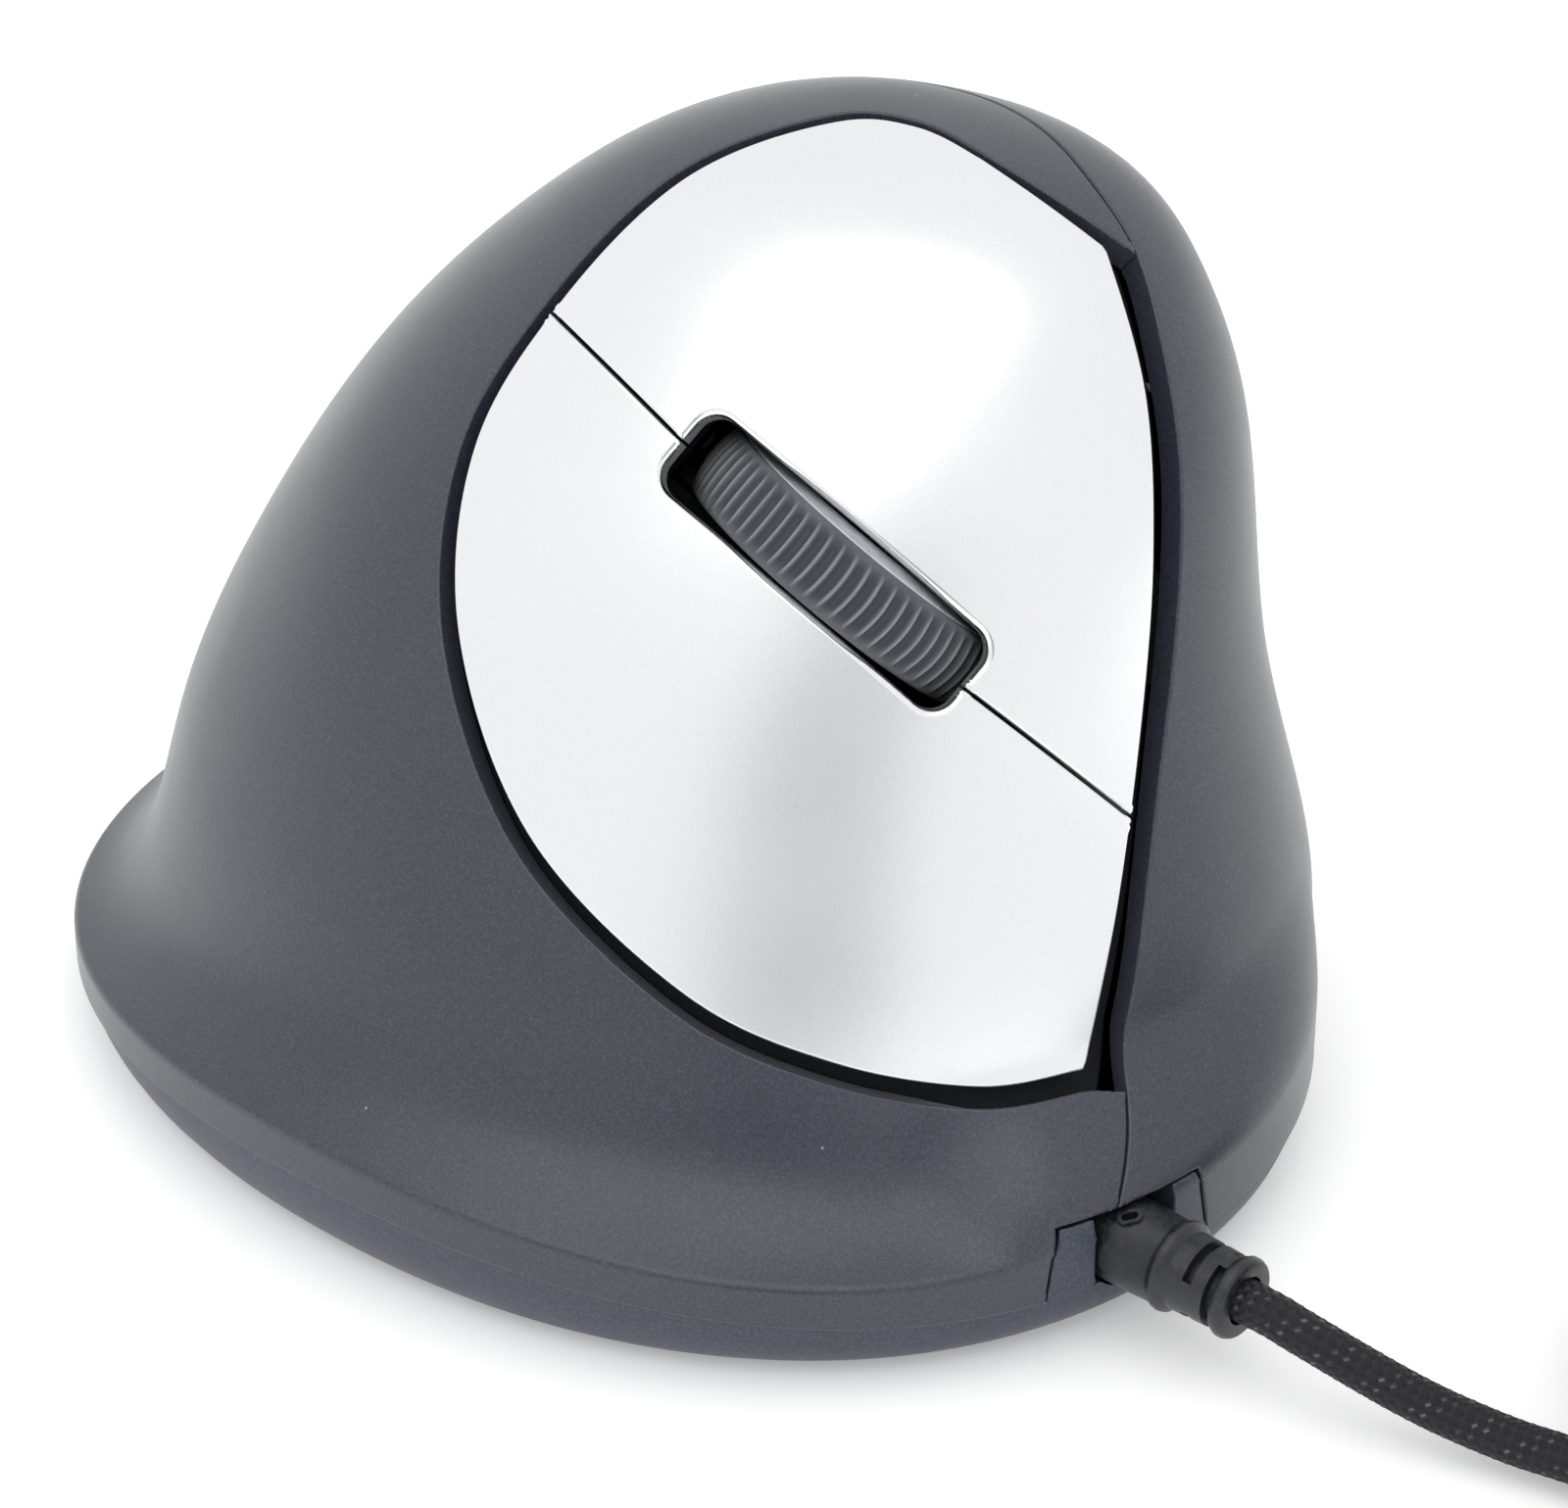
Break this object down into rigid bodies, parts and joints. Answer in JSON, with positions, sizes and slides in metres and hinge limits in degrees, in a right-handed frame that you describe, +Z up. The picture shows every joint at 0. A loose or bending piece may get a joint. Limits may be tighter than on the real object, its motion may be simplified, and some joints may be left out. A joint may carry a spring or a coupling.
{
  "type": "computer mouse",
  "caption": "Wired vertical ergonomic mouse for the right hand: tall two-part hump, sloping silver finger plate with a scroll wheel, braided lead coiled with its plug",
  "frame": {"origin": "middle of the mouse's footprint on the desk, without the lead", "axes": "+Y to the front where the lead leaves, +X the finger side, -X the thumb side, +Z up"},
  "size_m": [0.1037, 0.211, 0.0804],
  "materials": {
    "cover_plastic": "soft matte dark slate with a fine grain",
    "base_plastic": "matte dark slate, a little smoother",
    "silver_paint": "satin silver metallic paint",
    "black_plastic": "plain moulded black",
    "wheel_rubber": "ribbed matte rubber",
    "grey_plastic": "plain moulded grey",
    "amber_plastic": "smooth",
    "circuit_board": "green solder mask",
    "clear_lens": "clear moulded",
    "white_plastic": "plain moulded white",
    "glide_pad": "smooth low-friction pad",
    "screw_steel": "plain steel",
    "boot_rubber": "matte moulded",
    "braided_lead": "woven black and grey sleeve",
    "tie_fabric": "woven strap",
    "plug_steel": "bright plated"
  },
  "bodies": {
    "housing": {"base_plate": "base_plastic", "finger_side_cover": "cover_plastic", "thumb_side_cover": "cover_plastic", "cable_port_insert": "base_plastic", "button_tray": "black_plastic", "yoke_bracket": "grey_plastic", "wheel_switch": "black_plastic", "finger_board": "circuit_board", "upper_switch": "black_plastic", "lower_switch": "black_plastic", "thumb_switch_front": "black_plastic", "thumb_switch_rear": "black_plastic", "thumb_board": "circuit_board", "main_board": "circuit_board", "sensor_lens": "clear_lens", "sensor_chip": "black_plastic", "controller_chip": "black_plastic", "lead_socket": "white_plastic", "ribbon_socket": "white_plastic", "ribbon": "white_plastic", "foot_front": "glide_pad", "foot_finger_rear": "glide_pad", "foot_thumb": "glide_pad", "screw_finger_rear": "screw_steel", "screw_finger_front": "screw_steel", "screw_thumb_rear": "screw_steel", "screw_thumb_front": "screw_steel", "cable_strain_relief": "boot_rubber", "cable_inner": "braided_lead", "cable_lead": "braided_lead", "cable_coil": "braided_lead", "cable_tail": "braided_lead", "coil_tie": "tie_fabric", "usb_plug_housing": "black_plastic", "usb_plug_shell": "plug_steel", "usb_plug_tongue": "white_plastic"},
    "upper_button": {"upper_button": "silver_paint"},
    "lower_button": {"lower_button": "silver_paint"},
    "upper_plunger": {"upper_plunger": "amber_plastic"},
    "lower_plunger": {"lower_plunger": "amber_plastic"},
    "wheel_yoke": {"wheel_yoke": "black_plastic", "scroll_encoder": "grey_plastic"},
    "wheel": {"wheel_tyre": "wheel_rubber", "wheel_hub": "grey_plastic"},
    "wheel_switch_plunger": {"wheel_switch_plunger": "amber_plastic"},
    "thumb_button_front": {"thumb_button_front": "silver_paint"},
    "thumb_button_rear": {"thumb_button_rear": "silver_paint"},
    "thumb_plunger_front": {"thumb_plunger_front": "amber_plastic"},
    "thumb_plunger_rear": {"thumb_plunger_rear": "amber_plastic"}
  },
  "joints": [
    {"name": "upper_press", "type": "hinge", "parent": "housing", "child": "upper_button", "pos_m": [0.00515, -0.00698, 0.06605], "axis": [-0.7523, 0.1764, 0.6348], "range_deg": [0, 0.7], "stiffness_Nm_per_rad": 2},
    {"name": "lower_press", "type": "hinge", "parent": "housing", "child": "lower_button", "pos_m": [0.00515, -0.00698, 0.06605], "axis": [-0.7523, 0.1764, 0.6348], "range_deg": [0, 0.7], "stiffness_Nm_per_rad": 2},
    {"name": "upper_plunger_slide", "type": "slide", "parent": "housing", "child": "upper_plunger", "axis": [-0.6102, -0.5501, -0.5701], "range_m": [0, 0.00045]},
    {"name": "lower_plunger_slide", "type": "slide", "parent": "housing", "child": "lower_plunger", "axis": [-0.6102, -0.5501, -0.5701], "range_m": [0, 0.00045]},
    {"name": "wheel_click", "type": "hinge", "parent": "housing", "child": "wheel_yoke", "pos_m": [-0.0094, 0.03033, 0.04182], "axis": [0.6475, -0.2603, -0.7162], "range_deg": [0, 0.8], "stiffness_Nm_per_rad": 2.4},
    {"name": "wheel_spin", "type": "hinge", "parent": "wheel_yoke", "child": "wheel", "pos_m": [-0.00253, 0.01785, 0.05257], "axis": [-0.6475, 0.2603, 0.7162], "continuous": true},
    {"name": "wheel_switch_slide", "type": "slide", "parent": "housing", "child": "wheel_switch_plunger", "axis": [-0.7203, -0.5158, -0.4638], "range_m": [0, 0.0005]},
    {"name": "thumb_press_front", "type": "slide", "parent": "housing", "child": "thumb_button_front", "axis": [1, 0, 0], "range_m": [0, 0.0005], "stiffness_N_per_m": 1200},
    {"name": "thumb_press_rear", "type": "slide", "parent": "housing", "child": "thumb_button_rear", "axis": [1, 0, 0], "range_m": [0, 0.0005], "stiffness_N_per_m": 1200},
    {"name": "thumb_plunger_front_slide", "type": "slide", "parent": "housing", "child": "thumb_plunger_front", "axis": [1, 0, 0], "range_m": [0, 0.0005]},
    {"name": "thumb_plunger_rear_slide", "type": "slide", "parent": "housing", "child": "thumb_plunger_rear", "axis": [1, 0, 0], "range_m": [0, 0.0005]}
  ],
  "couplings": [
    {"joint": "upper_plunger_slide", "follows": "upper_press", "m_per_rad": 0.034},
    {"joint": "lower_plunger_slide", "follows": "lower_press", "m_per_rad": 0.034},
    {"joint": "wheel_switch_slide", "follows": "wheel_click", "m_per_rad": 0.0341},
    {"joint": "thumb_plunger_front_slide", "follows": "thumb_press_front", "ratio": 1},
    {"joint": "thumb_plunger_rear_slide", "follows": "thumb_press_rear", "ratio": 1}
  ]
}
